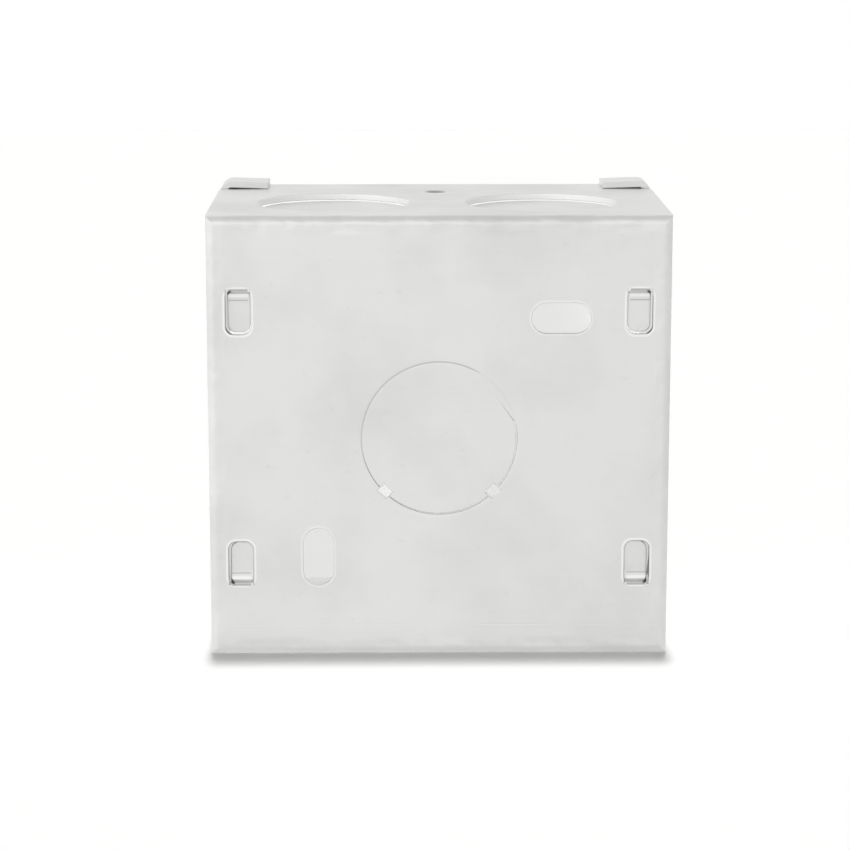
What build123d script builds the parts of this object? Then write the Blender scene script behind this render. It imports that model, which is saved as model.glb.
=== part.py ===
from build123d import *
import math
import os

os.makedirs("parts", exist_ok=True)

# A one-gang metal back box, folded from one sheet of zinc-coated steel.
# It stands as in its photograph: the back towards -Y, the open front
# towards +Y, two large knockouts in the upper wall. Sizes are in millimetres.
# The origin lies under the middle of the box, level with its lowest tabs.

# Sheet and overall sizes
sheet = 1.0
box_width = 75.0
box_height = 72.5
box_depth = 47.0
bend_inside = 0.4
seam = 0.2
relief_radius = 0.8

# Corner tabs of the side walls, folded over the upper and lower walls
tab_width = 7.3
tab_reach = 8.4
tab_bend = 2.0
tab_lift = 0.25
tab_rest_gap = 0.05
tab_notch_clearance = 0.5

# Pushed-in knockouts of the four walls
large_knockout = 25.4
small_knockout = 20.5
knockout_spacing = 34.6
knockout_depth = 19.3
knockout_drop = 1.2
knockout_slit = 0.1
tie_width = 3.0
tie_run = 1.4
tie_grip = 0.6
tie_angles = (0, 250)

# Hinged knockout of the back
back_knockout = 25.3
back_slit = 0.1
back_push = 0.35
hinge_angle = 36
hinge_half_angle = 24
pry_radial = 1.7
pry_tangential = 2.1
pry_radius = 12.4
pry_angles = (225, 315)

# Two fixing slots, at right angles to each other
slot_length = 9.6
slot_width = 5.0
slot_offset = 19.7

# Four lanced tongues near the corners of the back
tongue_window_width = 4.1
tongue_window_length = 7.3
tongue_window_corner = 1.4
tongue_x = 32.35
tongue_end = 24.4
tongue_outer_gap = 0.35
tongue_inner_gap = 0.12
tongue_tip_gap = 0.3
tongue_flat = 0.3
tongue_step = 0.45
tongue_step_drop = 0.7
tongue_ramp = 1.3
tongue_ramp_drop = 0.25

# Lugs for the cover's two screws
screw_pitch = 60.3
lug_sheet = 1.2
lug_bend_inside = 0.8
lug_width = 12.0
lug_setback = 1.5
lug_leg = 15.0
lug_edge = 4.6
lug_corner = 2.5
cover_tapping = 2.9
collar_wall = 0.75
collar_height = 1.2
weld_spacing = 6.0
weld_dimple = 0.15
weld_radius = 4.0

# Earth terminal in the upper wall
earth_depth = 35.7
earth_tapping = 3.3
earth_roll = 0.6
earth_collar_wall = 0.9
earth_collar_height = 1.2
thread_clearance = 0.05
screw_tip_below = 0.6
washer_side = 8.0
washer_thickness = 1.0
washer_corner = 0.8
washer_clearance = 0.4
head_radius = 3.7
head_height = 2.6
head_edge = 1.0
driver_slot = 1.0
driver_depth = 1.3

# Worked-out sizes and places
bend_outside = bend_inside + sheet
half_width = box_width / 2
half_height = box_height / 2
back_y = -box_depth / 2
rim_y = box_depth / 2
middle_z = tab_lift + sheet + half_height
upper_z = middle_z + half_height
tab_straight = tab_reach - tab_bend
tab_droop = math.degrees(math.atan((tab_lift - tab_rest_gap) / tab_straight))
lug_face_y = rim_y - lug_setback
earth_y = back_y + earth_depth


def wall_face(normal, distance):
    """Outer face of a wall: local y is the depth from the back."""
    out = Vector(*normal)
    origin = Vector(0, back_y, middle_z) + out * distance
    return Plane(origin=origin, x_dir=Vector(0, 1, 0).cross(out), z_dir=out)


back_face = Plane(origin=(0, back_y, middle_z), x_dir=(1, 0, 0), z_dir=(0, -1, 0))
upper_face = wall_face((0, 0, 1), half_height)
lower_face = wall_face((0, 0, -1), half_height)
right_face = wall_face((1, 0, 0), half_width)
left_face = wall_face((-1, 0, 0), half_width)
rim_plane = Plane.XZ.offset(-rim_y)
middle_plane = Plane.XY.offset(middle_z)

wall_knockouts = (
    (upper_face, large_knockout),
    (lower_face, large_knockout),
    (right_face, small_knockout),
    (left_face, small_knockout),
)


# One tab at each rim corner: it rises out of the side wall through a notch
# and is folded a little past square, so its free end comes down on the wall
with BuildPart() as corner_tabs:
    with BuildSketch(rim_plane):
        with BuildLine():
            riser = Line(
                (half_width, upper_z - 2 * sheet),
                (half_width, upper_z + tab_lift + sheet - tab_bend),
            )
            fold = JernArc(
                start=riser @ 1,
                tangent=riser % 1,
                radius=tab_bend,
                arc_size=90 + tab_droop,
            )
            Line(fold @ 1, fold @ 1 + (fold % 1) * tab_straight)
            offset(amount=sheet, side=Side.LEFT)
        make_face()
    extrude(amount=tab_width)
    mirror(about=Plane.YZ)
    mirror(about=middle_plane)


# The lanced tongue: it steps down sharply from its root at the outer end,
# slopes a little further, and its tip points to the middle of the box
tongue_root_z = middle_z + tongue_end
tongue_shoulder_z = tongue_root_z - tongue_flat
tongue_step_z = tongue_shoulder_z - tongue_step
tongue_ramp_z = tongue_step_z - tongue_ramp
tongue_step_y = back_y + tongue_step_drop
tongue_floor_y = tongue_step_y + tongue_ramp_drop
tongue_width = tongue_window_width - tongue_outer_gap - tongue_inner_gap
tongue_middle_x = tongue_x - (tongue_outer_gap - tongue_inner_gap) / 2
tongue_tip_z = tongue_root_z - tongue_window_length + tongue_tip_gap
with BuildPart() as tongues:
    with BuildSketch(Plane.YZ.offset(tongue_middle_x - tongue_width / 2)):
        with BuildLine():
            Polyline(
                (back_y, tongue_root_z + sheet),
                (back_y, tongue_shoulder_z),
                (tongue_step_y, tongue_step_z),
                (tongue_floor_y, tongue_ramp_z),
                (tongue_floor_y, tongue_tip_z),
                (tongue_floor_y + sheet, tongue_tip_z),
                (tongue_floor_y + sheet, tongue_ramp_z),
                (tongue_step_y + sheet, tongue_step_z),
                (back_y + sheet, tongue_shoulder_z),
                (back_y + sheet, tongue_root_z + sheet),
                close=True,
            )
        make_face()
    extrude(amount=tongue_width)
    tip_edges = tongues.edges().filter_by(Axis.Y).group_by(Axis.Z)[0]
    fillet(tip_edges, tongue_window_corner - tongue_inner_gap)
    mirror(about=Plane.YZ)
    mirror(about=middle_plane)


# The back's round knockout: everything on the far side of its hinge line is
# sheared free and leans inwards a little
back_radius = back_knockout / 2
hinge_distance = back_radius * math.cos(math.radians(hinge_half_angle))
lean = math.degrees(math.atan(back_push / (back_radius + hinge_distance)))
radial = back_face.x_dir * math.cos(math.radians(hinge_angle)) + back_face.y_dir * math.sin(
    math.radians(hinge_angle)
)
hinge_plane = Plane(
    origin=back_face.origin + radial * hinge_distance,
    x_dir=radial,
    z_dir=back_face.z_dir,
)
with BuildPart() as back_disc:
    with BuildSketch(hinge_plane.rotated((0, lean, 0))):
        with Locations((-hinge_distance, 0)):
            Circle(back_radius - back_slit)
        with Locations((0, 0)):
            Rectangle(
                back_knockout, back_knockout, align=(Align.MIN, Align.CENTER), mode=Mode.SUBTRACT
            )
    extrude(amount=-sheet)


with BuildPart() as box_body:
    # Folded tray
    with BuildSketch(back_face):
        Rectangle(box_width, box_height)
    extrude(amount=-box_depth)
    fillet(box_body.faces().sort_by(Axis.Y)[0].edges(), bend_outside)
    offset(amount=-sheet, openings=box_body.faces().sort_by(Axis.Y)[-1])

    # Open seams where the side walls end under the upper and lower walls,
    # with a round relief at the bend
    seam_start = bend_outside + relief_radius
    seam_end = box_depth - tab_width
    for face in (right_face, left_face):
        with BuildSketch(face):
            with Locations((0, (seam_start + seam_end) / 2)):
                with GridLocations(box_height - 2 * sheet - seam, 0, 2, 1):
                    Rectangle(seam, seam_end - seam_start)
            with Locations((0, seam_start)):
                with GridLocations(box_height - 2 * sheet - 2 * relief_radius, 0, 2, 1):
                    Circle(relief_radius)
        extrude(amount=-sheet, mode=Mode.SUBTRACT)

    # Notches in the upper and lower walls, and the tabs that pass them
    notch_width = sheet + tab_notch_clearance
    notch_length = tab_width + tab_notch_clearance
    for face in (upper_face, lower_face):
        with BuildSketch(face):
            with Locations((0, box_depth - notch_length / 2)):
                with GridLocations(box_width - notch_width, 0, 2, 1):
                    Rectangle(notch_width, notch_length)
        extrude(amount=-sheet, mode=Mode.SUBTRACT)
    add(corner_tabs.part)

    # Knockouts of the walls: pushed in past the sheet, held by two ties
    for face, diameter in wall_knockouts:
        radius = diameter / 2
        pair = [(-knockout_spacing / 2, knockout_depth), (knockout_spacing / 2, knockout_depth)]
        with BuildSketch(face):
            with Locations(*pair):
                Circle(radius)
        extrude(amount=-sheet, mode=Mode.SUBTRACT)
        with BuildSketch(face.offset(-knockout_drop)):
            with Locations(*pair):
                Circle(radius - knockout_slit)
        extrude(amount=-sheet)
        for place in pair:
            for angle in tie_angles:
                turn = math.radians(angle)
                outwards = face.x_dir * math.cos(turn) + face.y_dir * math.sin(turn)
                tie_plane = Plane(
                    origin=face.from_local_coords(place),
                    x_dir=outwards,
                    z_dir=outwards.cross(face.z_dir),
                )
                with BuildSketch(tie_plane):
                    with BuildLine():
                        Polyline(
                            (radius + tie_grip, 0),
                            (radius, 0),
                            (radius - tie_run, -knockout_drop),
                            (radius - tie_run - tie_grip, -knockout_drop),
                            (radius - tie_run - tie_grip, -knockout_drop - sheet),
                            (radius - tie_run, -knockout_drop - sheet),
                            (radius, -sheet),
                            (radius + tie_grip, -sheet),
                            close=True,
                        )
                    make_face()
                extrude(amount=tie_width / 2, both=True)

    # Knockout of the back
    with BuildSketch(hinge_plane):
        with Locations((-hinge_distance, 0)):
            Circle(back_radius)
        Rectangle(
            back_knockout, back_knockout, align=(Align.MIN, Align.CENTER), mode=Mode.SUBTRACT
        )
    extrude(amount=-sheet, mode=Mode.SUBTRACT)
    add(back_disc.part)
    with BuildSketch(back_face):
        for angle in pry_angles:
            with PolarLocations(pry_radius, 1, start_angle=angle):
                Rectangle(pry_radial, pry_tangential)
    extrude(amount=-(sheet + 2 * back_push), mode=Mode.SUBTRACT)

    # Fixing slots and the tongues' windows
    with BuildSketch(back_face):
        with Locations((slot_offset, slot_offset)):
            SlotOverall(slot_length, slot_width)
        with Locations((-slot_offset, -slot_offset)):
            SlotOverall(slot_length, slot_width, rotation=90)
    extrude(amount=-sheet, mode=Mode.SUBTRACT)
    window_middle = tongue_end - tongue_window_length / 2
    with BuildSketch(back_face) as tongue_windows:
        with Locations((tongue_x, window_middle)):
            Rectangle(tongue_window_width, tongue_window_length)
        window_corners = tongue_windows.vertices().group_by(Axis.Y)[0]
        fillet(window_corners, tongue_window_corner)
        mirror(about=Plane.YZ)
        mirror(about=Plane.XZ)
    extrude(amount=-sheet, mode=Mode.SUBTRACT)
    add(tongues.part)

    # Weld dimples over the lugs' legs
    weld_middle = box_depth - lug_setback - lug_leg / 2
    for face in (right_face, left_face):
        for step in (-0.5, 0.5):
            spot = face.from_local_coords((0, weld_middle + step * weld_spacing))
            with Locations(spot + face.z_dir * (weld_radius - weld_dimple)):
                Sphere(weld_radius, mode=Mode.SUBTRACT)

    # Earth hole, drawn inwards to a tapped collar
    earth_radius = earth_tapping / 2
    with BuildSketch(upper_face):
        with Locations((0, earth_depth)):
            Circle(earth_radius + earth_collar_wall)
    extrude(amount=-(sheet + earth_collar_height))
    with BuildSketch(upper_face):
        with Locations((0, earth_depth)):
            Circle(earth_radius)
    extrude(amount=-(sheet + earth_collar_height), mode=Mode.SUBTRACT)
    mouth = box_body.edges().filter_by(GeomType.CIRCLE)
    mouth = mouth.filter_by(lambda edge: abs(edge.radius - earth_radius) < 0.01)
    fillet(mouth.sort_by(Axis.Z)[-1], earth_roll)

box_body.part.label = "box_body"
export_step(box_body.part, "parts/box_body.step")


def folded_lug(side):
    """L-shaped lug, welded to the side wall at +X (side 1) or -X (side -1)."""
    wall_x = half_width - sheet
    tip_x = screw_pitch / 2 - lug_edge
    bend = lug_bend_inside + lug_sheet
    with BuildPart() as lug:
        with BuildSketch(Plane.XY.offset(middle_z - lug_width / 2)) as section:
            with BuildLine():
                leg = Line((wall_x, lug_face_y - lug_leg), (wall_x, lug_face_y - bend))
                turn = JernArc(start=leg @ 1, tangent=leg % 1, radius=bend, arc_size=90)
                Line(turn @ 1, (tip_x, lug_face_y))
                offset(amount=lug_sheet, side=Side.LEFT)
            make_face()
        extrude(section.sketch, amount=lug_width)
        fillet(lug.edges().filter_by(Axis.Y).group_by(Axis.X)[0], lug_corner)
        fillet(lug.edges().filter_by(Axis.X).group_by(Axis.Y)[0], lug_corner)
        face = Plane(origin=(screw_pitch / 2, lug_face_y, middle_z), z_dir=(0, 1, 0))
        with BuildSketch(face) as collar:
            Circle(cover_tapping / 2 + collar_wall)
        extrude(collar.sketch, amount=-(lug_sheet + collar_height))
        with BuildSketch(face) as bore:
            Circle(cover_tapping / 2)
        extrude(bore.sketch, amount=-(lug_sheet + collar_height), mode=Mode.SUBTRACT)
    return lug.part if side > 0 else mirror(lug.part, about=Plane.YZ)


for name, side in (("lug_right", 1), ("lug_left", -1)):
    lug_part = folded_lug(side)
    lug_part.label = name
    export_step(lug_part, f"parts/{name}.step")


# Square washer that clamps the earth wire under the screw's head
washer_top = upper_z - sheet - earth_collar_height
with BuildPart() as earth_washer:
    with BuildSketch(Plane(origin=(0, earth_y, washer_top), z_dir=(0, 0, -1))):
        RectangleRounded(washer_side, washer_side, washer_corner)
        Circle(earth_radius + washer_clearance, mode=Mode.SUBTRACT)
    extrude(amount=washer_thickness)
earth_washer.part.label = "earth_washer"
export_step(earth_washer.part, "parts/earth_washer.step")


# Slotted pan-head screw, driven upwards from inside the box
head_seat = washer_top - washer_thickness
with BuildPart() as earth_screw:
    with BuildSketch(Plane(origin=(0, earth_y, head_seat), z_dir=(0, 0, -1))):
        Circle(head_radius)
    extrude(amount=head_height)
    fillet(earth_screw.edges().sort_by(Axis.Z)[0], head_edge)
    head_face = Plane(origin=(0, earth_y, head_seat - head_height), z_dir=(0, 0, -1))
    with BuildSketch(head_face):
        Rectangle(driver_slot, 2 * head_radius)
    extrude(amount=-driver_depth, mode=Mode.SUBTRACT)
    with BuildSketch(Plane(origin=(0, earth_y, head_seat))):
        Circle(earth_radius - thread_clearance)
    extrude(amount=upper_z - screw_tip_below - head_seat)
earth_screw.part.label = "earth_screw"
export_step(earth_screw.part, "parts/earth_screw.step")
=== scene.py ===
import math

import bmesh
import bpy
from bpy.props import FloatProperty, FloatVectorProperty, PointerProperty
from mathutils import Euler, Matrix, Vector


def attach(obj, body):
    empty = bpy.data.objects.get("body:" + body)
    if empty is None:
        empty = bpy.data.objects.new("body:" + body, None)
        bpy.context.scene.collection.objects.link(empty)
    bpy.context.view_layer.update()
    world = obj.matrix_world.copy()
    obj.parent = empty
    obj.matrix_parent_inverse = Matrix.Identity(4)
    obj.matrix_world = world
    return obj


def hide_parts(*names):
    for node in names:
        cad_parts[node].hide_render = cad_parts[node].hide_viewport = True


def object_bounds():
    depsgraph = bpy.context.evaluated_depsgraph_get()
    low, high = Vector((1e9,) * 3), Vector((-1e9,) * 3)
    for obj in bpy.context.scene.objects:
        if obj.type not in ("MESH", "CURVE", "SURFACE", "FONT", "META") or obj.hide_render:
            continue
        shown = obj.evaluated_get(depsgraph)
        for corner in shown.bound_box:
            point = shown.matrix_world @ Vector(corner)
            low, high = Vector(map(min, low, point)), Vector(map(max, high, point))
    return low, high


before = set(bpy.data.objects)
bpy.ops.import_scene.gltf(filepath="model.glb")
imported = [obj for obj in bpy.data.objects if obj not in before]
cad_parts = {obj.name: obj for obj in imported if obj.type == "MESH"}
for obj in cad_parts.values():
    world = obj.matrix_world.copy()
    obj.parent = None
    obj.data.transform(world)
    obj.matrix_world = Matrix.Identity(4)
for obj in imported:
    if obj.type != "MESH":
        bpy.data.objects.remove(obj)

bl_info = {
    "name": "Metal Back Box",
    "version": (1, 0, 0),
    "blender": (4, 5, 0),
    "location": "View3D > Sidebar > Back Box",
    "description": "Finishes a folded steel back box and sets it on a pale studio floor",
    "category": "Object",
}

MM = 0.001
BODY = "root"
CAD_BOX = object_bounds()

# Sizes and places of the CAD model that the finish and the small details follow
HALF_WIDTH, HALF_HEIGHT, MIDDLE_Z = 37.5 * MM, 36.25 * MM, 37.5 * MM
BACK_Y, SHEET, BEND_OUTSIDE = -23.5 * MM, 1.0 * MM, 1.4 * MM
# The folding tool's line on the back
TOOL_LINE_Z = 6.35 * MM
# The back knockout's shear line, and where its uncut hinge lies
RING_RADIUS = 12.65 * MM
HINGE_TURN, HINGE_HALF = math.radians(36), math.radians(24)
# The two fixing slots, each as far out across the back as up or down it
SLOT_OUT, SLOT_LONG, SLOT_WIDE = 19.7 * MM, 9.6 * MM, 5.0 * MM
# The four tongues' windows: middle and root, measured from the back's middle, and size
WINDOW_X, WINDOW_ROOT = 32.35 * MM, 24.4 * MM
WINDOW_WIDE, WINDOW_LONG, WINDOW_CORNER = 4.1 * MM, 7.3 * MM, 1.3 * MM
# No tongue is pressed in deeper than this
TONGUE_DEEP = 2.2 * MM
# The earth hole in the upper wall, and the height of the earth screw's tip in it
EARTH_Y, EARTH_RADIUS, TIP_Z = 12.2 * MM, 1.65 * MM, 73.15 * MM
# The threaded bores of the two cover lugs
BORE_X, BORE_FRONT, BORE_DEEP, BORE_RADIUS = 30.15 * MM, 22.0 * MM, 2.4 * MM, 1.45 * MM
# What the box rests on: a lower tab, in from the mouth, and the lower bend, in from the back
TAB_DEEP, BEND_REST = 7.3 * MM, 1.6 * MM
# Radius of the brass edges, as a share of the sheet's edge radius
BRASS_EDGE = 0.6

# Half width of the studio floor, in metres
FLOOR_HALF = 1.5
# Overhead light, long from front to back and narrow from side to side: each sun's height in
# degrees and its share of the light
OVERHEAD_STRIP = ((87.7, 0.13), (86.2, 0.2), (85.0, 0.25), (83.8, 0.24), (82.6, 0.18))
# What metal mirrors of the room, as shares of white: the room, what its front and its rear add
# below the ceiling, and how much the right side loses
ROOM_WHITE, FRONT_WHITE, REAR_WHITE, SIDE_LOSS = 0.78, 0.38, 0.2, 0.22
CEILING_START, CEILING_END = 0.62, 0.82
# What metal mirrors of the paper: its glow at the left and at the right, how far out they lie,
# and how much of the paper's own light is taken back there
GLOW_LEFT, GLOW_RIGHT, GLOW_REACH, GLOW_DIM = 0.86, 0.64, 0.2, 0.72
# How much the paper glows where the camera looks at it
GLOW_SEEN = 0.05


def linear(hex_colour):
    """Linear RGB of an sRGB hex colour such as #DADAD6."""
    channels = [int(hex_colour[i:i + 2], 16) / 255 for i in (1, 3, 5)]
    return tuple(c / 12.92 if c <= 0.04045 else ((c + 0.055) / 1.055) ** 2.4 for c in channels)


def add_node(tree, kind, sockets=None, **settings):
    """A node with its settings, its sockets set to values or linked from other sockets."""
    node = tree.nodes.new(kind)
    for name, value in settings.items():
        setattr(node, name, value)
    for key, value in (sockets or {}).items():
        if isinstance(value, bpy.types.NodeSocket):
            tree.links.new(value, node.inputs[key])
        else:
            node.inputs[key].default_value = value
    return node


class BackBoxFinish(bpy.types.PropertyGroup):
    zinc: FloatVectorProperty(
        name="Zinc", description="Colour of the zinc coat on the sheet",
        subtype="COLOR", size=3, min=0, max=1, default=linear("#E1E2E0"))
    zinc_dull: FloatVectorProperty(
        name="Dull zinc", description="Colour of the zinc coat where it is handled or stained",
        subtype="COLOR", size=3, min=0, max=1, default=linear("#D2D3D1"))
    plated: FloatVectorProperty(
        name="Plated lugs", description="Colour of the bright zinc plate on the lugs",
        subtype="COLOR", size=3, min=0, max=1, default=linear("#D2D4D6"))
    brass: FloatVectorProperty(
        name="Brass", description="Colour of the earth screw and its washer",
        subtype="COLOR", size=3, min=0, max=1, default=linear("#E0C27A"))
    spangle: FloatProperty(
        name="Spangle", description="Width of a zinc crystal", unit="LENGTH", default=5 * MM)
    rolling: FloatProperty(
        name="Rolling lines", description="Spacing of the sheet's rolling lines",
        unit="LENGTH", default=0.9 * MM)
    edge: FloatProperty(
        name="Edge", description="Radius that shearing and zinc leave on an edge",
        unit="LENGTH", default=0.22 * MM)


class BackBoxThreads(bpy.types.PropertyGroup):
    pitch: FloatProperty(
        name="Pitch", description="Pitch of the M3.5 threads in the lugs", unit="LENGTH",
        default=0.6 * MM)
    ridge: FloatProperty(
        name="Ridge", description="Height of a thread's crest", unit="LENGTH", default=0.13 * MM)


class BackBoxStage(bpy.types.PropertyGroup):
    camera_place: FloatVectorProperty(
        name="Camera place", description="Where the camera stands", subtype="TRANSLATION",
        unit="LENGTH", size=3, default=(-7.6 * MM, -457.1 * MM, 126.2 * MM))
    camera_pitch: FloatProperty(
        name="Camera pitch", description="How far the camera looks down", subtype="ANGLE",
        default=math.radians(11.273))
    camera_yaw: FloatProperty(
        name="Camera yaw", description="How far the camera looks to the right",
        subtype="ANGLE", default=math.radians(0.70))
    lens: FloatProperty(
        name="Lens", description="Focal length on a 36 mm sensor, in millimetres", default=115.53)
    floor: FloatVectorProperty(
        name="Floor", description="Colour of the paper that the box stands on",
        subtype="COLOR", size=3, min=0, max=1, default=linear("#F4F4F3"))
    overhead: FloatProperty(
        name="Overhead", description="Strength of the overhead light", default=2.15)
    low: FloatProperty(
        name="Low", description="Strength of the low front light", default=7.4)
    room: FloatProperty(
        name="Room", description="Strength of the pale room around", default=0.12)


def rounded_copy(node_name, name, radius):
    """A copy of a CAD node with its outer edges rounded over, as a mesh without modifiers.
    Its triangles are first joined to the flat faces that they came from."""
    grown = bmesh.new()
    grown.from_mesh(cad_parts[node_name].data)
    bmesh.ops.remove_doubles(grown, verts=grown.verts, dist=0.001 * MM)
    bmesh.ops.dissolve_limit(
        grown, angle_limit=math.radians(1), verts=grown.verts, edges=grown.edges)
    sharp = [
        edge for edge in grown.edges
        if edge.is_manifold and edge.is_convex and edge.calc_face_angle() > math.radians(50)]
    bmesh.ops.bevel(
        grown, geom=sharp, offset=radius, offset_type="OFFSET", segments=2, profile=0.5,
        affect="EDGES", clamp_overlap=True)
    for face in grown.faces:
        face.smooth = True
    for edge in grown.edges:
        edge.smooth = not edge.is_manifold or edge.calc_face_angle() < math.radians(40)
    mesh = bpy.data.meshes.new(name)
    grown.to_mesh(mesh)
    grown.free()
    draft = bpy.data.objects.new(name + "_draft", mesh)
    bpy.context.scene.collection.objects.link(draft)
    flat = draft.modifiers.new("flat_faces", "WEIGHTED_NORMAL")
    flat.keep_sharp = True
    return plain_object(draft, name)


def plain_object(draft, name):
    """The evaluated draft as a plain mesh object. The draft goes."""
    graph = bpy.context.evaluated_depsgraph_get()
    mesh = bpy.data.meshes.new_from_object(draft.evaluated_get(graph), depsgraph=graph)
    bpy.data.objects.remove(draft)
    mesh.name = name
    piece = bpy.data.objects.new(name, mesh)
    bpy.context.scene.collection.objects.link(piece)
    return piece


def dress(piece, node_name, material):
    """Puts a finished piece in its CAD node's place, with its material and material slot."""
    piece.data.materials.clear()
    piece.data.materials.append(material)
    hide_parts(node_name)
    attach(piece, BODY)


def depth_nodes(tree, axes):
    """Sockets that say how far a point lies inside the outer face of the back, of the nearest
    side wall and of the nearest level wall, in metres."""
    back = add_node(
        tree, "ShaderNodeMath", {0: axes.outputs["Y"], 1: BACK_Y}, operation="SUBTRACT")
    depths = [back.outputs[0]]
    for axis, middle, half in (("X", 0.0, HALF_WIDTH), ("Z", MIDDLE_Z, HALF_HEIGHT)):
        away = add_node(
            tree, "ShaderNodeMath", {0: axes.outputs[axis], 1: middle}, operation="SUBTRACT")
        away = add_node(tree, "ShaderNodeMath", {0: away.outputs[0]}, operation="ABSOLUTE")
        depth = add_node(
            tree, "ShaderNodeMath", {0: half, 1: away.outputs[0]}, operation="SUBTRACT")
        depths.append(depth.outputs[0])
    return depths


def band(tree, value, low, high, soft, within=None):
    """1 where the value lies between low and high, with a soft start and end. Where a second
    mask is given, the band shows only inside it."""
    rise = add_node(
        tree, "ShaderNodeMapRange",
        {"Value": value, "From Min": low, "From Max": low + soft}, interpolation_type="SMOOTHSTEP")
    fall = add_node(
        tree, "ShaderNodeMapRange",
        {"Value": value, "From Min": high - soft, "From Max": high, "To Min": 1.0, "To Max": 0.0},
        interpolation_type="SMOOTHSTEP")
    mask = add_node(
        tree, "ShaderNodeMath", {0: rise.outputs["Result"], 1: fall.outputs["Result"]},
        operation="MULTIPLY")
    if within is not None:
        mask = add_node(
            tree, "ShaderNodeMath", {0: mask.outputs[0], 1: within}, operation="MULTIPLY")
    return mask.outputs[0]


def scratch_mask(tree, rolled):
    """Hairline scratches in two directions, drawn 0.1 mm wide so that they show."""
    hairs = []
    for turn, seed in ((0.5, 3.1), (-0.9, 7.7)):
        lean = add_node(
            tree, "ShaderNodeMapping",
            {"Vector": rolled, "Location": (seed, seed, 0.0), "Rotation": (0.0, 0.0, turn),
             "Scale": (0.02, 1.0, 1.0)})
        noise = add_node(
            tree, "ShaderNodeTexNoise",
            {"Vector": lean.outputs[0], "Scale": 1 / (0.5 * MM), "Detail": 1.0})
        hairs.append(add_node(
            tree, "ShaderNodeMapRange",
            {"Value": noise.outputs["Fac"], "From Min": 0.72, "From Max": 0.8}))
    return add_node(
        tree, "ShaderNodeMath", {0: hairs[0].outputs["Result"], 1: hairs[1].outputs["Result"]},
        operation="MAXIMUM").outputs[0]


def cut_face_mask(tree, lie, back_depth, side_depth, level_depth, wall_depth):
    """Sheared edges, bare steel painted near white as a painted highlight: they lie between the
    sheet's two skins, clear of the bends, and face along the sheet."""
    mask = None
    for axis, depth, other in (("Y", back_depth, wall_depth), ("X", side_depth, back_depth),
                               ("Z", level_depth, back_depth)):
        clear = add_node(
            tree, "ShaderNodeMath", {0: other, 1: BEND_OUTSIDE + 0.1 * MM},
            operation="GREATER_THAN")
        turned = add_node(tree, "ShaderNodeMath", {0: lie.outputs[axis]}, operation="ABSOLUTE")
        turned = add_node(
            tree, "ShaderNodeMath", {0: turned.outputs[0], 1: 0.5}, operation="LESS_THAN")
        sheared = add_node(
            tree, "ShaderNodeMath", {0: clear.outputs[0], 1: turned.outputs[0]},
            operation="MULTIPLY")
        if axis == "X":
            # A side wall's sheet ends where the level walls' sheet begins
            between = add_node(
                tree, "ShaderNodeMath", {0: level_depth, 1: SHEET}, operation="GREATER_THAN")
            sheared = add_node(
                tree, "ShaderNodeMath", {0: sheared.outputs[0], 1: between.outputs[0]},
                operation="MULTIPLY")
        edge = band(tree, depth, 0.02 * MM, SHEET - 0.02 * MM, 0.03 * MM, sheared.outputs[0])
        mask = edge if mask is None else add_node(
            tree, "ShaderNodeMath", {0: mask, 1: edge}, operation="MAXIMUM").outputs[0]
    return mask


def ring_masks(tree, from_middle, height, on_skin):
    """The back knockout's shear line: its rolled shoulder, and painted shade in its slit, mostly
    in the upper part, where the slit's own shade is weak. Both fade at the hinge."""
    radius = add_node(tree, "ShaderNodeVectorMath", {0: from_middle}, operation="LENGTH")
    heading = add_node(tree, "ShaderNodeVectorMath", {0: from_middle}, operation="NORMALIZE")
    towards = add_node(
        tree, "ShaderNodeVectorMath",
        {0: heading.outputs["Vector"],
         1: (math.cos(HINGE_TURN), 0.0, math.sin(HINGE_TURN))}, operation="DOT_PRODUCT")
    sheared = add_node(
        tree, "ShaderNodeMapRange",
        {"Value": towards.outputs["Value"], "From Min": math.cos(HINGE_HALF + 0.1),
         "From Max": math.cos(HINGE_HALF - 0.05), "To Min": 1.0, "To Max": 0.15})
    sheared = add_node(
        tree, "ShaderNodeMath", {0: sheared.outputs["Result"], 1: on_skin}, operation="MULTIPLY")
    shoulder = band(
        tree, radius.outputs["Value"], RING_RADIUS - 0.42 * MM, RING_RADIUS + 0.42 * MM,
        0.4 * MM, sheared.outputs[0])
    upper_part = add_node(
        tree, "ShaderNodeMapRange", {"Value": height, "From Min": -7 * MM, "From Max": 3 * MM})
    weak = add_node(
        tree, "ShaderNodeMath", {0: sheared.outputs[0], 1: upper_part.outputs["Result"]},
        operation="MULTIPLY")
    # Painted shade in the slit, stronger towards the top
    slit_shade = band(
        tree, radius.outputs["Value"], RING_RADIUS - 0.2 * MM, RING_RADIUS + 0.15 * MM,
        0.12 * MM, weak.outputs[0])
    return shoulder, slit_shade


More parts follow.
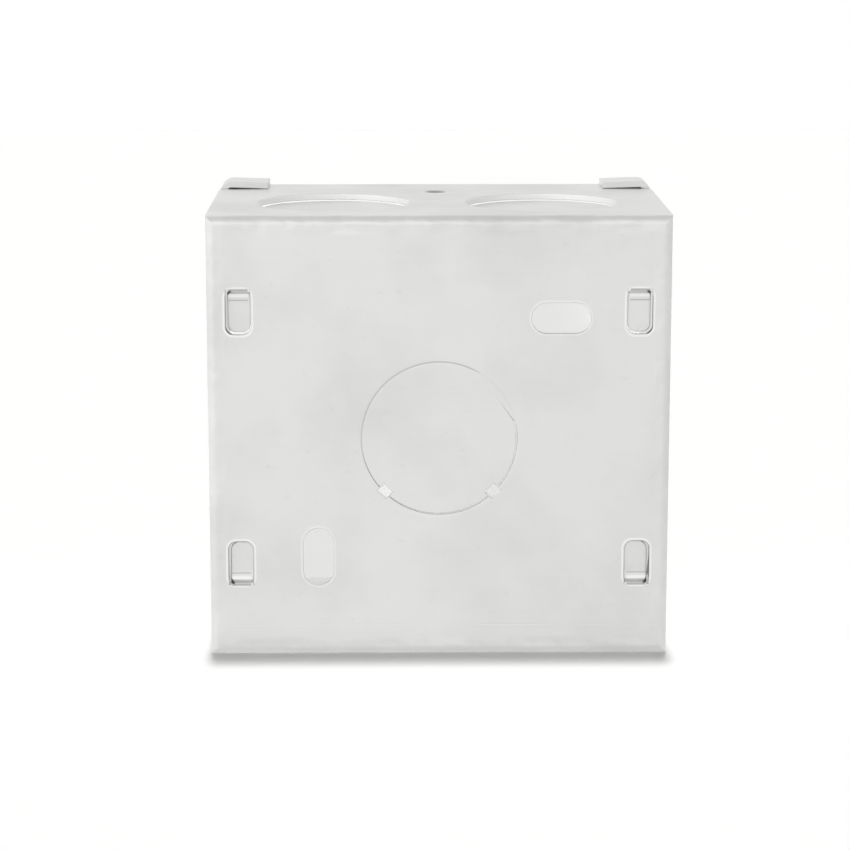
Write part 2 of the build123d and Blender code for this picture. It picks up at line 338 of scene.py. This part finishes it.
def tongue_masks(tree, from_middle, on_skin, near_back):
    """The four lanced tongues in their windows, met at one place by symmetry: each window's rim
    and the tongue's bend, both with a painted highlight, the painted shade at the tongue's root
    and the painted shade in the gap on its outer side."""
    mirrored = add_node(tree, "ShaderNodeVectorMath", {0: from_middle}, operation="ABSOLUTE")
    from_window = add_node(
        tree, "ShaderNodeVectorMath",
        {0: mirrored.outputs["Vector"],
         1: (WINDOW_X, 0.0, WINDOW_ROOT - WINDOW_LONG / 2)}, operation="SUBTRACT")
    spot = add_node(tree, "ShaderNodeSeparateXYZ", {"Vector": from_window.outputs["Vector"]})
    core = add_node(
        tree, "ShaderNodeVectorMath", {0: from_window.outputs["Vector"]}, operation="ABSOLUTE")
    core = add_node(
        tree, "ShaderNodeVectorMath",
        {0: core.outputs["Vector"],
         1: (WINDOW_WIDE / 2 - WINDOW_CORNER, 0.0, WINDOW_LONG / 2 - WINDOW_CORNER)},
        operation="SUBTRACT")
    core = add_node(
        tree, "ShaderNodeVectorMath", {0: core.outputs["Vector"], 1: (0.0, 0.0, 0.0)},
        operation="MAXIMUM")
    outline = add_node(
        tree, "ShaderNodeVectorMath", {0: core.outputs["Vector"]}, operation="LENGTH")
    outline = add_node(
        tree, "ShaderNodeMath", {0: outline.outputs["Value"], 1: WINDOW_CORNER},
        operation="SUBTRACT").outputs[0]
    rim = band(tree, outline, 0.02 * MM, 0.5 * MM, 0.16 * MM, on_skin)

    outer_side = band(tree, spot.outputs["X"], 0.9 * MM, 9 * MM, 0.4 * MM, near_back)
    gap_shade = band(tree, outline, -0.42 * MM, 0.06 * MM, 0.08 * MM, outer_side)

    on_tongue = band(tree, spot.outputs["X"], -1.75 * MM, 1.75 * MM, 0.3 * MM, near_back)
    root_z = WINDOW_LONG / 2
    bend_highlight = band(
        tree, spot.outputs["Z"], root_z - 1.45 * MM, root_z - 0.4 * MM, 0.3 * MM, on_tongue)
    crease = band(
        tree, spot.outputs["Z"], root_z - 0.35 * MM, root_z + 0.25 * MM, 0.2 * MM, on_tongue)
    bend_end = band(
        tree, spot.outputs["Z"], root_z - 1.95 * MM, root_z - 1.65 * MM, 0.12 * MM, on_tongue)
    root_shade = add_node(
        tree, "ShaderNodeMath", {0: crease, 1: bend_end}, operation="MAXIMUM").outputs[0]
    return rim, bend_highlight, root_shade, gap_shade


def slot_rim_mask(tree, from_middle, flat, on_skin):
    """The two fixing slots' rims, with a painted highlight: the upright slot's is the level one's,
    mirrored.
    """
    swapped = add_node(
        tree, "ShaderNodeCombineXYZ", {"X": flat.outputs["Z"], "Z": flat.outputs["X"]})
    swapped = add_node(
        tree, "ShaderNodeVectorMath", {0: swapped.outputs[0], "Scale": -1.0}, operation="SCALE")
    side = add_node(
        tree, "ShaderNodeMath", {0: flat.outputs["X"], 1: flat.outputs["Z"]}, operation="ADD")
    side = add_node(tree, "ShaderNodeMath", {0: side.outputs[0], 1: 0.0}, operation="GREATER_THAN")
    from_slot = add_node(
        tree, "ShaderNodeMix",
        {"Factor": side.outputs[0], "A": swapped.outputs[0], "B": from_middle},
        data_type="VECTOR")
    from_slot = add_node(
        tree, "ShaderNodeVectorMath",
        {0: from_slot.outputs["Result"], 1: (SLOT_OUT, 0.0, SLOT_OUT)}, operation="SUBTRACT")
    from_slot = add_node(
        tree, "ShaderNodeVectorMath", {0: from_slot.outputs["Vector"]}, operation="ABSOLUTE")
    from_slot = add_node(
        tree, "ShaderNodeVectorMath",
        {0: from_slot.outputs["Vector"], 1: ((SLOT_LONG - SLOT_WIDE) / 2, 0.0, 0.0)},
        operation="SUBTRACT")
    from_slot = add_node(
        tree, "ShaderNodeVectorMath", {0: from_slot.outputs["Vector"], 1: (0.0, 0.0, 0.0)},
        operation="MAXIMUM")
    reach = add_node(
        tree, "ShaderNodeVectorMath", {0: from_slot.outputs["Vector"]}, operation="LENGTH")
    return band(
        tree, reach.outputs["Value"], SLOT_WIDE / 2 - 0.1 * MM, SLOT_WIDE / 2 + 0.45 * MM,
        0.2 * MM, on_skin)


def earth_hole_shade_mask(tree, place, axes):
    """Painted shade on the wall of the earth hole in the upper wall."""
    from_earth = add_node(
        tree, "ShaderNodeVectorMath", {0: place, 1: (0.0, EARTH_Y, 0.0)}, operation="SUBTRACT")
    from_earth = add_node(
        tree, "ShaderNodeVectorMath", {0: from_earth.outputs["Vector"], 1: (1.0, 1.0, 0.0)},
        operation="MULTIPLY")
    from_earth = add_node(
        tree, "ShaderNodeVectorMath", {0: from_earth.outputs["Vector"]}, operation="LENGTH")
    upper_wall = add_node(
        tree, "ShaderNodeMath", {0: axes.outputs["Z"], 1: MIDDLE_Z}, operation="GREATER_THAN")
    return band(
        tree, from_earth.outputs["Value"], -1 * MM, EARTH_RADIUS + 0.25 * MM, 0.15 * MM,
        upper_wall.outputs[0])


def galvanised_steel(finish):
    """Hot-dip galvanised steel sheet, skin-passed between rolls and folded: pale grey zinc with
    a faint crystal spangle, fine rolling lines, hairline scratches, small press marks, dull
    handling stains, a slight ripple along the folds and bare sheared edges painted near white as
    a painted highlight. Painted highlights also lie on the slot and window rims and the tongues'
    bends, and painted shade in the tongues' roots and outer gaps, the knockout's slit and the
    earth hole."""
    material = bpy.data.materials.new("galvanised_steel")
    material.use_nodes = True
    tree = material.node_tree
    shader = tree.nodes["Principled BSDF"]
    place = add_node(tree, "ShaderNodeTexCoord").outputs["Object"]
    facing = add_node(tree, "ShaderNodeTexCoord").outputs["Normal"]
    axes = add_node(tree, "ShaderNodeSeparateXYZ", {"Vector": place})
    lie = add_node(tree, "ShaderNodeSeparateXYZ", {"Vector": facing})

    # Rolling runs across the box. Its lines lie at one height, and on the level walls at one
    # depth. They are drawn coarser than real ones, which are under 0.2 mm apart, so they show.
    level = add_node(tree, "ShaderNodeMath", {0: lie.outputs["Z"]}, operation="ABSOLUTE")
    level = add_node(
        tree, "ShaderNodeMath", {0: level.outputs[0], 1: 0.7}, operation="GREATER_THAN")
    across = add_node(
        tree, "ShaderNodeMix",
        {"Factor": level.outputs[0], "A": axes.outputs["Z"], "B": axes.outputs["Y"]})
    along = add_node(
        tree, "ShaderNodeMath", {0: axes.outputs["X"], 1: axes.outputs["Y"]}, operation="ADD")
    rolled = add_node(
        tree, "ShaderNodeCombineXYZ",
        {"X": along.outputs[0], "Y": across.outputs["Result"], "Z": 0.0}).outputs[0]
    stretch = add_node(
        tree, "ShaderNodeMapping", {"Vector": rolled, "Scale": (0.03, 1.0, 1.0)})
    lines = add_node(
        tree, "ShaderNodeTexNoise",
        {"Vector": stretch.outputs[0], "Scale": 1 / finish.rolling, "Detail": 3.0,
         "Roughness": 0.65})
    scratch = scratch_mask(tree, rolled)

    # Crystals of zinc, each a little brighter or duller
    crystal = add_node(
        tree, "ShaderNodeTexVoronoi",
        {"Vector": place, "Scale": 1 / finish.spangle, "Randomness": 1.0})
    crystal_tone = add_node(tree, "ShaderNodeSeparateColor", {"Color": crystal.outputs["Color"]})

    # Slow clouds of dull zinc, 20 mm and more across
    cloud = add_node(
        tree, "ShaderNodeTexNoise",
        {"Vector": place, "Scale": 1 / (22 * MM), "Detail": 4.0, "Roughness": 0.55})
    stain = add_node(
        tree, "ShaderNodeMapRange",
        {"Value": cloud.outputs["Fac"], "From Min": 0.45, "From Max": 0.75, "To Max": 0.6})

    # Places on the folded sheet
    back_depth, side_depth, level_depth = depth_nodes(tree, axes)
    wall_depth = add_node(
        tree, "ShaderNodeMath", {0: side_depth, 1: level_depth}, operation="MINIMUM").outputs[0]
    fold_reach = add_node(
        tree, "ShaderNodeMath", {0: back_depth, 1: wall_depth}, operation="MAXIMUM").outputs[0]
    on_skin = add_node(
        tree, "ShaderNodeMath", {0: back_depth, 1: SHEET / 2}, operation="LESS_THAN").outputs[0]
    near_back = add_node(
        tree, "ShaderNodeMath", {0: back_depth, 1: TONGUE_DEEP}, operation="LESS_THAN").outputs[0]
    near_fold = add_node(
        tree, "ShaderNodeMapRange",
        {"Value": fold_reach, "From Min": BEND_OUTSIDE, "From Max": 3.2 * MM, "To Min": 1.0,
         "To Max": 0.0}, interpolation_type="SMOOTHSTEP").outputs["Result"]
    from_middle = add_node(
        tree, "ShaderNodeVectorMath", {0: place, 1: (0.0, 0.0, MIDDLE_Z)}, operation="SUBTRACT")
    from_middle = add_node(
        tree, "ShaderNodeVectorMath", {0: from_middle.outputs["Vector"], 1: (1.0, 0.0, 1.0)},
        operation="MULTIPLY").outputs["Vector"]
    flat = add_node(tree, "ShaderNodeSeparateXYZ", {"Vector": from_middle})

    # What the tools left there, and where highlights and shade are painted
    cut_face = cut_face_mask(tree, lie, back_depth, side_depth, level_depth, wall_depth)
    shoulder, ring_slit_shade = ring_masks(tree, from_middle, flat.outputs["Z"], on_skin)
    window_rim, bend_highlight, root_shade, gap_shade = tongue_masks(
        tree, from_middle, on_skin, near_back)
    # The window rims and the tongues' bends carry a painted highlight
    tongue_highlight = add_node(
        tree, "ShaderNodeMath", {0: window_rim, 1: bend_highlight}, operation="MAXIMUM").outputs[0]
    slot_rim = slot_rim_mask(tree, from_middle, flat, on_skin)
    earth_hole_shade = earth_hole_shade_mask(tree, place, axes)

    # A witness line of the folding tool, 5.1 mm above the bottom fold, that fades in and out
    along_line = add_node(
        tree, "ShaderNodeTexNoise", {"Vector": rolled, "Scale": 1 / (9 * MM), "Detail": 2.0})
    pressed = add_node(
        tree, "ShaderNodeMapRange",
        {"Value": along_line.outputs["Fac"], "From Min": 0.42, "From Max": 0.55})
    tool_line = band(
        tree, axes.outputs["Z"], TOOL_LINE_Z - 0.18 * MM, TOOL_LINE_Z + 0.18 * MM, 0.18 * MM,
        pressed.outputs["Result"])

    # Small dents and press marks, 1 to 3 mm long
    mark_noise = add_node(
        tree, "ShaderNodeTexNoise",
        {"Vector": place, "Scale": 1 / (2.6 * MM), "Detail": 3.0, "Roughness": 0.6})
    marks = add_node(
        tree, "ShaderNodeMapRange",
        {"Value": mark_noise.outputs["Fac"], "From Min": 0.64, "From Max": 0.74})

    # Colour
    tone = add_node(
        tree, "ShaderNodeMapRange", {"Value": crystal_tone.outputs["Red"], "To Max": 0.08})
    dull = add_node(
        tree, "ShaderNodeMath", {0: tone.outputs["Result"], 1: stain.outputs["Result"]},
        operation="ADD")
    dull = add_node(
        tree, "ShaderNodeMath", {0: marks.outputs["Result"], 1: 0.35, 2: dull.outputs[0]},
        operation="MULTIPLY_ADD", use_clamp=True)
    colour = add_node(
        tree, "ShaderNodeMix",
        {"Factor": dull.outputs[0], "A": (*finish.zinc, 1), "B": (*finish.zinc_dull, 1)},
        data_type="RGBA").outputs["Result"]
    # Painted light in the colour: sheared edges painted near white, painted highlights on the slot
    # rims, window rims and tongue bends, and painted shade at the tongues' roots and outer gaps,
    # in the knockout's slit and on the earth hole's wall
    for mask, hex_colour in ((cut_face, "#FAFAF9"), (slot_rim, "#E7E7E5"),
                             (tongue_highlight, "#EEEEEC"), (root_shade, "#B6B7B4"),
                             (gap_shade, "#666764"), (ring_slit_shade, "#C0C1BD"),
                             (earth_hole_shade, "#9C9B96")):
        colour = add_node(
            tree, "ShaderNodeMix",
            {"Factor": mask, "A": colour, "B": (*linear(hex_colour), 1)},
            data_type="RGBA").outputs["Result"]
    tree.links.new(colour, shader.inputs["Base Color"])

    # Roughness: rolling lines, duller stains, brighter scratches and duller sheared edges
    rough = add_node(
        tree, "ShaderNodeMapRange",
        {"Value": lines.outputs["Fac"], "From Min": 0.3, "From Max": 0.7,
         "To Min": 0.33, "To Max": 0.43}).outputs["Result"]
    for mask, change in ((stain.outputs["Result"], 0.14), (scratch, -0.1), (cut_face, 0.1)):
        rough = add_node(
            tree, "ShaderNodeMath", {0: mask, 1: change, 2: rough},
            operation="MULTIPLY_ADD").outputs[0]
    tree.links.new(rough, shader.inputs["Roughness"])

    # Relief, each part with its depth: slack in the sheet, ripple along the folds, the tools'
    # marks, rolling lines, crystals and scratches, on edges rounded by shearing and zinc
    edge = add_node(tree, "ShaderNodeBevel", {"Radius": finish.edge}, samples=6)
    slack = add_node(
        tree, "ShaderNodeTexNoise",
        {"Vector": place, "Scale": 1 / (14 * MM), "Detail": 1.0, "Roughness": 0.4})
    ripple = add_node(
        tree, "ShaderNodeTexNoise",
        {"Vector": place, "Scale": 1 / (6 * MM), "Detail": 2.0, "Roughness": 0.5})
    ripple = add_node(
        tree, "ShaderNodeMath", {0: ripple.outputs["Fac"], 1: 0.5}, operation="SUBTRACT")
    ripple = add_node(
        tree, "ShaderNodeMath", {0: ripple.outputs[0], 1: near_fold}, operation="MULTIPLY")
    relief = edge.outputs["Normal"]
    for height, depth, strength in (
            (slack.outputs["Fac"], 0.25 * MM, 0.5), (ripple.outputs[0], 0.8 * MM, 1.0),
            (tool_line, -0.02 * MM, 1.0), (shoulder, -0.03 * MM, 1.0),
            (window_rim, 0.03 * MM, 1.0), (slot_rim, 0.03 * MM, 1.0),
            (mark_noise.outputs["Fac"], 0.02 * MM, 1.0),
            (marks.outputs["Result"], -0.012 * MM, 1.0),
            (lines.outputs["Fac"], 0.004 * MM, 1.0),
            (crystal.outputs["Distance"], 0.004 * MM, 0.5), (scratch, -0.01 * MM, 0.4)):
        relief = add_node(
            tree, "ShaderNodeBump",
            {"Height": height, "Distance": abs(depth), "Strength": strength, "Normal": relief},
            invert=depth < 0).outputs["Normal"]
    tree.links.new(relief, shader.inputs["Normal"])
    shader.inputs["Metallic"].default_value = 1.0
    return material


def plated_steel(finish):
    """Bright zinc-plated steel strip, pressed and bent: a cooler, smoother grey with soft edges.
    The strip's grain is drawn coarser than real, 0.25 mm apart, so that it shows."""
    material = bpy.data.materials.new("zinc_plated_steel")
    material.use_nodes = True
    tree = material.node_tree
    shader = tree.nodes["Principled BSDF"]
    place = add_node(tree, "ShaderNodeTexCoord").outputs["Object"]
    stretch = add_node(
        tree, "ShaderNodeMapping", {"Vector": place, "Scale": (1.0, 1.0, 0.06)})
    grain = add_node(
        tree, "ShaderNodeTexNoise",
        {"Vector": stretch.outputs[0], "Scale": 1 / (0.25 * MM), "Detail": 3.0})
    cloud = add_node(
        tree, "ShaderNodeTexNoise", {"Vector": place, "Scale": 1 / (4 * MM), "Detail": 3.0})
    tone = add_node(
        tree, "ShaderNodeMix",
        {"Factor": cloud.outputs["Fac"], "A": (*finish.plated, 1), "B": (*finish.zinc_dull, 1)},
        data_type="RGBA")
    tree.links.new(tone.outputs["Result"], shader.inputs["Base Color"])
    rough = add_node(
        tree, "ShaderNodeMapRange", {"Value": grain.outputs["Fac"], "To Min": 0.2, "To Max": 0.4})
    tree.links.new(rough.outputs["Result"], shader.inputs["Roughness"])
    edge = add_node(tree, "ShaderNodeBevel", {"Radius": finish.edge}, samples=6)
    relief = add_node(
        tree, "ShaderNodeBump",
        {"Height": grain.outputs["Fac"], "Distance": 0.005 * MM, "Strength": 0.5,
         "Normal": edge.outputs["Normal"]})
    tree.links.new(relief.outputs["Normal"], shader.inputs["Normal"])
    shader.inputs["Metallic"].default_value = 1.0
    return material


def turned_brass(finish):
    """Brass, turned or pressed and a little tarnished: warm yellow, browner in patches, and with
    painted shade on the screw's tip, inside the earth hole."""
    material = bpy.data.materials.new("turned_brass")
    material.use_nodes = True
    tree = material.node_tree
    shader = tree.nodes["Principled BSDF"]
    place = add_node(tree, "ShaderNodeTexCoord").outputs["Object"]
    cloud = add_node(
        tree, "ShaderNodeTexNoise", {"Vector": place, "Scale": 1 / (2.5 * MM), "Detail": 4.0})
    tarnish = add_node(
        tree, "ShaderNodeMapRange",
        {"Value": cloud.outputs["Fac"], "From Min": 0.4, "From Max": 0.75,
         "To Min": 0.0, "To Max": 0.7})
    tone = add_node(
        tree, "ShaderNodeMix",
        {"Factor": tarnish.outputs["Result"], "A": (*finish.brass, 1),
         "B": (*linear("#A98A4E"), 1)}, data_type="RGBA")
    height = add_node(tree, "ShaderNodeSeparateXYZ", {"Vector": place}).outputs["Z"]
    # Painted shade: the screw's last 0.7 mm, inside the earth hole, is painted darker
    tip_shade = add_node(
        tree, "ShaderNodeMapRange",
        {"Value": height, "From Min": TIP_Z - 0.7 * MM, "From Max": TIP_Z - 0.2 * MM})
    tone = add_node(
        tree, "ShaderNodeMix",
        {"Factor": tip_shade.outputs["Result"], "A": tone.outputs["Result"],
         "B": (*linear("#857558"), 1)}, data_type="RGBA")
    tree.links.new(tone.outputs["Result"], shader.inputs["Base Color"])
    rough = add_node(
        tree, "ShaderNodeMapRange",
        {"Value": cloud.outputs["Fac"], "To Min": 0.2, "To Max": 0.42})
    tree.links.new(rough.outputs["Result"], shader.inputs["Roughness"])
    edge = add_node(tree, "ShaderNodeBevel", {"Radius": finish.edge}, samples=6)
    tree.links.new(edge.outputs["Normal"], shader.inputs["Normal"])
    shader.inputs["Metallic"].default_value = 1.0
    return material


def mirrored_rays(tree, rays):
    """1 for a ray that comes straight from a reflection, and 0 once it has met matt paper."""
    fresh = add_node(
        tree, "ShaderNodeMath", {0: rays.outputs["Diffuse Depth"], 1: 0.5}, operation="LESS_THAN")
    return add_node(
        tree, "ShaderNodeMath", {0: rays.outputs["Is Glossy Ray"], 1: fresh.outputs[0]},
        operation="MULTIPLY").outputs[0]


def studio_paper(colour):
    """Matt white paper: white where nothing shades it, and soft grey in the shadow. Metal
    mirrors it as an even glow, brighter at the left."""
    material = bpy.data.materials.new("studio_paper")
    material.use_nodes = True
    tree = material.node_tree
    tree.nodes.clear()
    paper = add_node(tree, "ShaderNodeBsdfDiffuse")
    rays = add_node(tree, "ShaderNodeLightPath")
    mirrored = mirrored_rays(tree, rays)
    base = add_node(
        tree, "ShaderNodeMath",
        {0: rays.outputs["Is Camera Ray"], 1: GLOW_SEEN, 2: rays.outputs["Is Transmission Ray"]},
        operation="MULTIPLY_ADD")
    place = add_node(tree, "ShaderNodeTexCoord").outputs["Object"]
    across = add_node(tree, "ShaderNodeSeparateXYZ", {"Vector": place})
    share = add_node(
        tree, "ShaderNodeMapRange",
        {"Value": across.outputs["X"], "From Min": -GLOW_REACH, "From Max": GLOW_REACH,
         "To Min": GLOW_LEFT, "To Max": GLOW_RIGHT})
    lift = add_node(
        tree, "ShaderNodeMath", {0: mirrored, 1: share.outputs["Result"], 2: base.outputs[0]},
        operation="MULTIPLY_ADD")
    dim = add_node(
        tree, "ShaderNodeMath", {0: mirrored, 1: -GLOW_DIM, 2: 1.0}, operation="MULTIPLY_ADD")
    matt = add_node(
        tree, "ShaderNodeVectorMath", {0: colour, "Scale": dim.outputs[0]}, operation="SCALE")
    tree.links.new(matt.outputs[0], paper.inputs["Color"])
    glow = add_node(tree, "ShaderNodeEmission", {"Strength": lift.outputs[0]})
    both = add_node(tree, "ShaderNodeAddShader", {0: paper.outputs[0], 1: glow.outputs[0]})
    add_node(tree, "ShaderNodeOutputMaterial", {"Surface": both.outputs[0]})
    return material


class BACKBOX_OT_box_body(bpy.types.Operator):
    """Finish the folded box with galvanised steel"""
    bl_idname = "backbox.box_body"
    bl_label = "Folded Box"

    def execute(self, context):
        material = galvanised_steel(context.scene.backbox_finish)
        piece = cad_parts["box_body"]
        for slot in piece.material_slots:
            slot.material = material
        return {"FINISHED"}


class BACKBOX_OT_lugs(bpy.types.Operator):
    """Round the two cover lugs' edges and finish them with bright zinc plate"""
    bl_idname = "backbox.lugs"
    bl_label = "Cover Lugs"

    def execute(self, context):
        finish = context.scene.backbox_finish
        material = plated_steel(finish)
        for side in ("left", "right"):
            piece = rounded_copy(f"lug_{side}", f"cover_lug_{side}", finish.edge)
            dress(piece, f"lug_{side}", material)
        return {"FINISHED"}


class BACKBOX_OT_earth_terminal(bpy.types.Operator):
    """Round the earth screw and its washer and finish them in brass"""
    bl_idname = "backbox.earth_terminal"
    bl_label = "Earth Terminal"

    def execute(self, context):
        finish = context.scene.backbox_finish
        material = turned_brass(finish)
        for node_name, name in (("earth_screw", "earth_terminal_screw"),
                                ("earth_washer", "earth_terminal_washer")):
            piece = rounded_copy(node_name, name, finish.edge * BRASS_EDGE)
            dress(piece, node_name, material)
        return {"FINISHED"}


def thread_tree(material):
    """Geometry Nodes for an inner thread: a ridge that climbs a bore's wall, along +Y."""
    tree = bpy.data.node_groups.new("inner_thread", "GeometryNodeTree")
    for name in ("Bore radius", "Pitch", "Ridge", "Length"):
        tree.interface.new_socket(name, in_out="INPUT", socket_type="NodeSocketFloat")
    tree.interface.new_socket("Place", in_out="INPUT", socket_type="NodeSocketVector")
    tree.interface.new_socket("Geometry", in_out="OUTPUT", socket_type="NodeSocketGeometry")
    given = add_node(tree, "NodeGroupInput").outputs
    turns = add_node(
        tree, "ShaderNodeMath", {0: given["Length"], 1: given["Pitch"]}, operation="DIVIDE")
    spiral = add_node(
        tree, "GeometryNodeCurveSpiral",
        {"Resolution": 28, "Rotations": turns.outputs[0], "Start Radius": given["Bore radius"],
         "End Radius": given["Bore radius"], "Height": given["Length"]})
    crest = add_node(
        tree, "GeometryNodeCurvePrimitiveCircle", {"Resolution": 4, "Radius": given["Ridge"]})
    ridge = add_node(
        tree, "GeometryNodeCurveToMesh",
        {"Curve": spiral.outputs["Curve"], "Profile Curve": crest.outputs["Curve"],
         "Fill Caps": True})
    placed = add_node(
        tree, "GeometryNodeTransform",
        {"Geometry": ridge.outputs["Mesh"], "Translation": given["Place"],
         "Rotation": Euler((-math.pi / 2, 0, 0))})
    whole = add_node(
        tree, "GeometryNodeRealizeInstances", {"Geometry": placed.outputs["Geometry"]})
    coated = add_node(
        tree, "GeometryNodeSetMaterial",
        {"Geometry": whole.outputs["Geometry"], "Material": material})
    add_node(tree, "NodeGroupOutput", {"Geometry": coated.outputs["Geometry"]})
    return tree


class BACKBOX_OT_threads(bpy.types.Operator):
    """Cut the M3.5 threads in the two cover lugs' collars with Geometry Nodes"""
    bl_idname = "backbox.threads"
    bl_label = "Lug Threads"

    def execute(self, context):
        threads = context.scene.backbox_threads
        material = bpy.data.materials["zinc_plated_steel"]
        tree = thread_tree(material)
        run_out = threads.ridge * 1.2  # keeps both ends of the ridge inside the collar
        for side, x in (("left", -BORE_X), ("right", BORE_X)):
            name = f"cover_thread_{side}"
            draft = bpy.data.objects.new(name + "_draft", bpy.data.meshes.new(name + "_draft"))
            context.scene.collection.objects.link(draft)
            nodes = draft.modifiers.new("thread", "NODES")
            nodes.node_group = tree
            values = {
                "Bore radius": BORE_RADIUS, "Pitch": threads.pitch, "Ridge": threads.ridge,
                "Length": BORE_DEEP - 2 * run_out,
                "Place": (x, BORE_FRONT - BORE_DEEP + run_out, MIDDLE_Z)}
            for socket in tree.interface.items_tree:
                if socket.in_out == "INPUT":
                    nodes[socket.identifier] = values[socket.name]
            piece = plain_object(draft, name)
            if not piece.data.polygons:
                raise RuntimeError(f"{name} came out empty")
            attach(piece, BODY)
        return {"FINISHED"}


def soft_sun(name, turn, height, spread, strength):
    """A wide, even light from one direction, with its turn, height and spread in degrees. It
    stays out of reflections, which show the room."""
    lamp = bpy.data.lights.new(name, "SUN")
    lamp.energy = strength
    lamp.angle = math.radians(spread)
    holder = bpy.data.objects.new(name, lamp)
    holder.visible_glossy = False
    holder.rotation_euler = (math.radians(90 - height), 0, math.radians(turn))
    bpy.context.scene.collection.objects.link(holder)


def pale_room(low_strength):
    """A white room. Metal mirrors it brighter below the ceiling, in front and at the left, and
    matt paper gets only a little light from it."""
    world = bpy.data.worlds.new("pale_room")
    world.use_nodes = True
    tree = world.node_tree
    tree.nodes.clear()
    rays = add_node(tree, "ShaderNodeLightPath")
    seen = add_node(
        tree, "ShaderNodeMath",
        {0: rays.outputs["Is Camera Ray"], 1: rays.outputs["Is Transmission Ray"]},
        operation="MAXIMUM")
    way = add_node(tree, "ShaderNodeTexCoord").outputs["Generated"]
    axes = add_node(tree, "ShaderNodeSeparateXYZ", {"Vector": way})
    ceiling = add_node(
        tree, "ShaderNodeMapRange",
        {"Value": axes.outputs["Z"], "From Min": CEILING_START, "From Max": CEILING_END,
         "To Min": 1.0, "To Max": 0.0})
    ahead = add_node(
        tree, "ShaderNodeMapRange",
        {"Value": axes.outputs["Y"], "From Min": -0.2, "From Max": 0.2,
         "To Min": FRONT_WHITE, "To Max": REAR_WHITE})
    shade = add_node(
        tree, "ShaderNodeMath",
        {0: ceiling.outputs["Result"], 1: ahead.outputs["Result"], 2: ROOM_WHITE},
        operation="MULTIPLY_ADD")
    sides = add_node(
        tree, "ShaderNodeMath", {0: axes.outputs["X"], 1: -SIDE_LOSS, 2: 1.0},
        operation="MULTIPLY_ADD")
    shade = add_node(
        tree, "ShaderNodeMath", {0: shade.outputs[0], 1: sides.outputs[0]}, operation="MULTIPLY")
    glossy = add_node(
        tree, "ShaderNodeMath", {0: mirrored_rays(tree, rays), 1: shade.outputs[0]},
        operation="MULTIPLY")
    plain = add_node(
        tree, "ShaderNodeMath", {0: glossy.outputs[0], 1: low_strength}, operation="MAXIMUM")
    strength = add_node(
        tree, "ShaderNodeMix", {"Factor": seen.outputs[0], "A": plain.outputs[0], "B": 1.0})
    room = add_node(
        tree, "ShaderNodeBackground",
        {"Color": (1.0, 1.0, 1.0, 1.0), "Strength": strength.outputs["Result"]})
    add_node(tree, "ShaderNodeOutputWorld", {"Surface": room.outputs[0]})
    return world


class BACKBOX_OT_stage(bpy.types.Operator):
    """Lay the pale floor, light the box softly and set the camera"""
    bl_idname = "backbox.stage"
    bl_label = "Studio Stage"

    def execute(self, context):
        stage = context.scene.backbox_stage
        low, high = CAD_BOX

        # The box rests on its lower tabs and on the bend of its back, so the floor leans a little
        tab_high = (high.z - low.z) / 2 - HALF_HEIGHT
        tab_edge = high.y - TAB_DEEP
        slope = tab_high / (tab_edge - low.y - BEND_REST)
        mesh = bpy.data.meshes.new("floor")
        corners = []
        for x, y in ((-1, -1), (1, -1), (1, 1), (-1, 1)):
            height = low.z + slope * (tab_edge - y * FLOOR_HALF)
            corners.append((x * FLOOR_HALF, y * FLOOR_HALF, height))
        mesh.from_pydata(corners, [], [(0, 1, 2, 3)])
        mesh.materials.append(studio_paper(stage.floor))
        floor = bpy.data.objects.new("floor", mesh)
        context.scene.collection.objects.link(floor)

        for number, (height, share) in enumerate(OVERHEAD_STRIP):
            soft_sun(f"overhead_light_{number}", turn=180, height=height, spread=2.4,
                     strength=stage.overhead * share)
        soft_sun("low_light", turn=-3.6, height=8, spread=5, strength=stage.low)
        context.scene.world = pale_room(stage.room)

        lens = bpy.data.cameras.new("camera")
        lens.lens = stage.lens
        lens.sensor_width = 36
        lens.clip_start, lens.clip_end = 0.01, 10
        camera = bpy.data.objects.new("camera", lens)
        camera.location = stage.camera_place
        camera.rotation_euler = (math.pi / 2 - stage.camera_pitch, 0, -stage.camera_yaw)
        context.scene.collection.objects.link(camera)
        context.scene.camera = camera
        context.scene.view_settings.view_transform = "Standard"
        return {"FINISHED"}


OPERATORS = (
    BACKBOX_OT_box_body,
    BACKBOX_OT_lugs,
    BACKBOX_OT_threads,
    BACKBOX_OT_earth_terminal,
    BACKBOX_OT_stage,
)


class BACKBOX_PT_panel(bpy.types.Panel):
    """Sizes, colours and steps of the back box"""
    bl_idname = "BACKBOX_PT_panel"
    bl_label = "Back Box"
    bl_space_type = "VIEW_3D"
    bl_region_type = "UI"
    bl_category = "Back Box"

    def draw(self, context):
        for group in (context.scene.backbox_finish, context.scene.backbox_threads,
                      context.scene.backbox_stage):
            box = self.layout.box()
            for name in group.__annotations__:
                box.prop(group, name)
        for operator in OPERATORS:
            self.layout.operator(operator.bl_idname)


CLASSES = (BackBoxFinish, BackBoxThreads, BackBoxStage, *OPERATORS, BACKBOX_PT_panel)


def register():
    for item in CLASSES:
        bpy.utils.register_class(item)
    bpy.types.Scene.backbox_finish = PointerProperty(type=BackBoxFinish)
    bpy.types.Scene.backbox_threads = PointerProperty(type=BackBoxThreads)
    bpy.types.Scene.backbox_stage = PointerProperty(type=BackBoxStage)


def unregister():
    del bpy.types.Scene.backbox_stage
    del bpy.types.Scene.backbox_threads
    del bpy.types.Scene.backbox_finish
    for item in reversed(CLASSES):
        bpy.utils.unregister_class(item)


def main():
    register()
    for operator in OPERATORS:
        group, name = operator.bl_idname.split(".")
        getattr(getattr(bpy.ops, group), name)()


if __name__ == "__main__":
    main()
